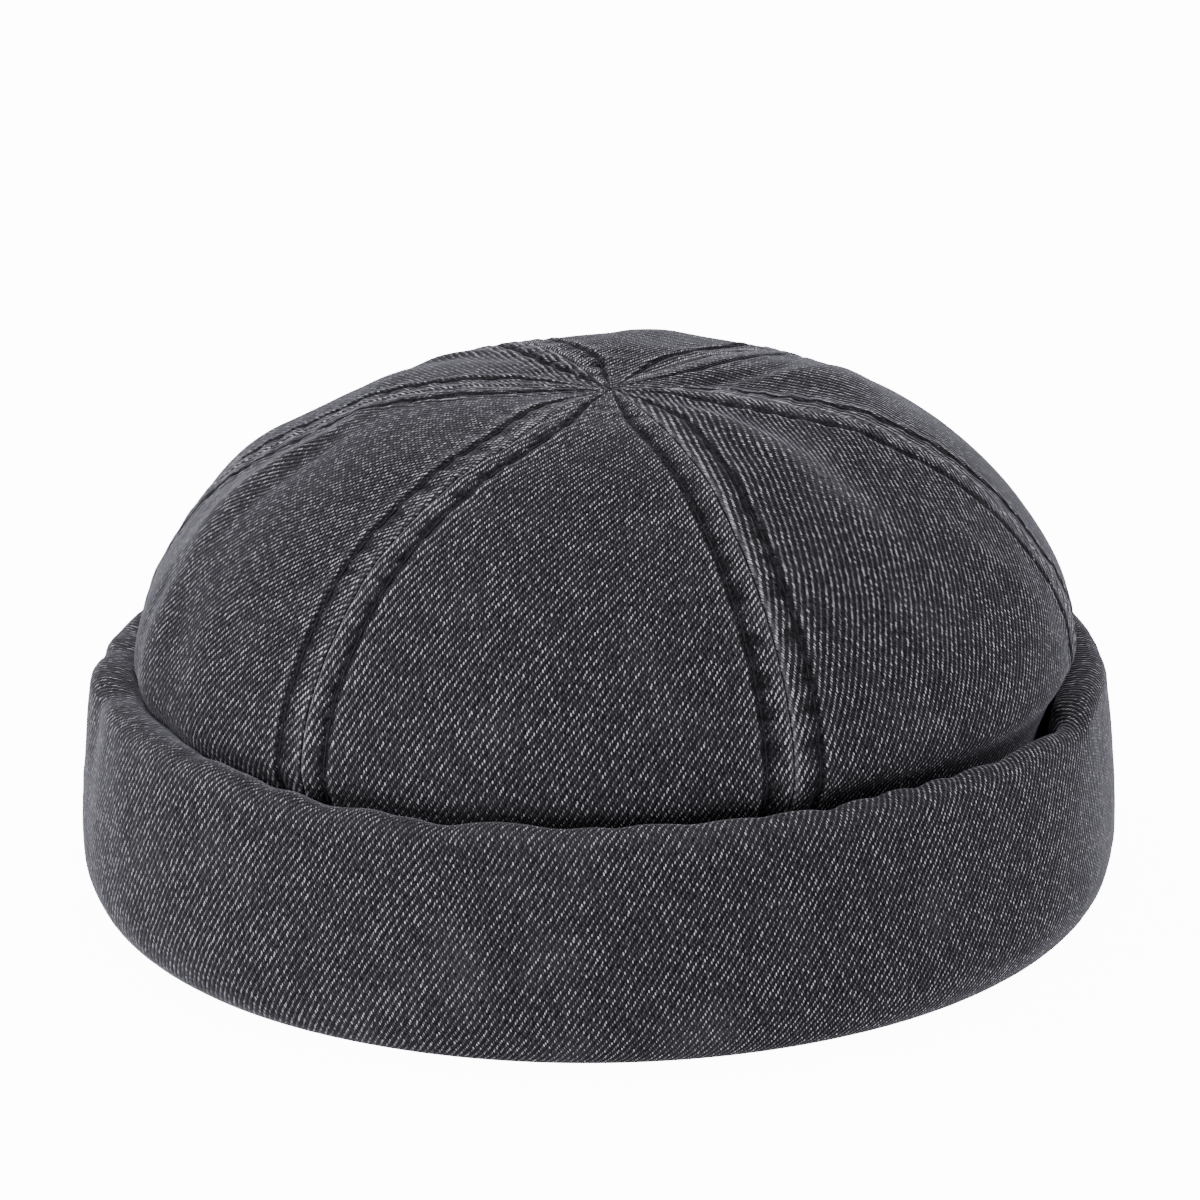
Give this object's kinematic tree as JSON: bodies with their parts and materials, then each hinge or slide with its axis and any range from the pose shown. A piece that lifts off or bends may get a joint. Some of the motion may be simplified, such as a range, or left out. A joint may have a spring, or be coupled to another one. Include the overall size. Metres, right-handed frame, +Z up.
{
  "type": "docker cap",
  "caption": "Brimless docker cap in washed black denim: a domed crown of sewn gores over a wide turned-up cuff, open below for the head.",
  "frame": {"origin": "on the resting surface, under the middle of the cuff", "axes": "+Z up, the front seam towards -Y, the wearer's left towards +X"},
  "size_m": [0.207, 0.2132, 0.1058],
  "materials": {
    "crown_denim": "washed black denim, right-hand twill",
    "cuff_denim": "washed black denim, right-hand twill"
  },
  "bodies": {
    "root": {"gore_front_left": "crown_denim", "gore_side_left": "crown_denim", "gore_back_left": "crown_denim", "gore_back_right": "crown_denim", "gore_side_right": "crown_denim", "gore_front_right": "crown_denim", "cuff": "cuff_denim"}
  },
  "joints": []
}
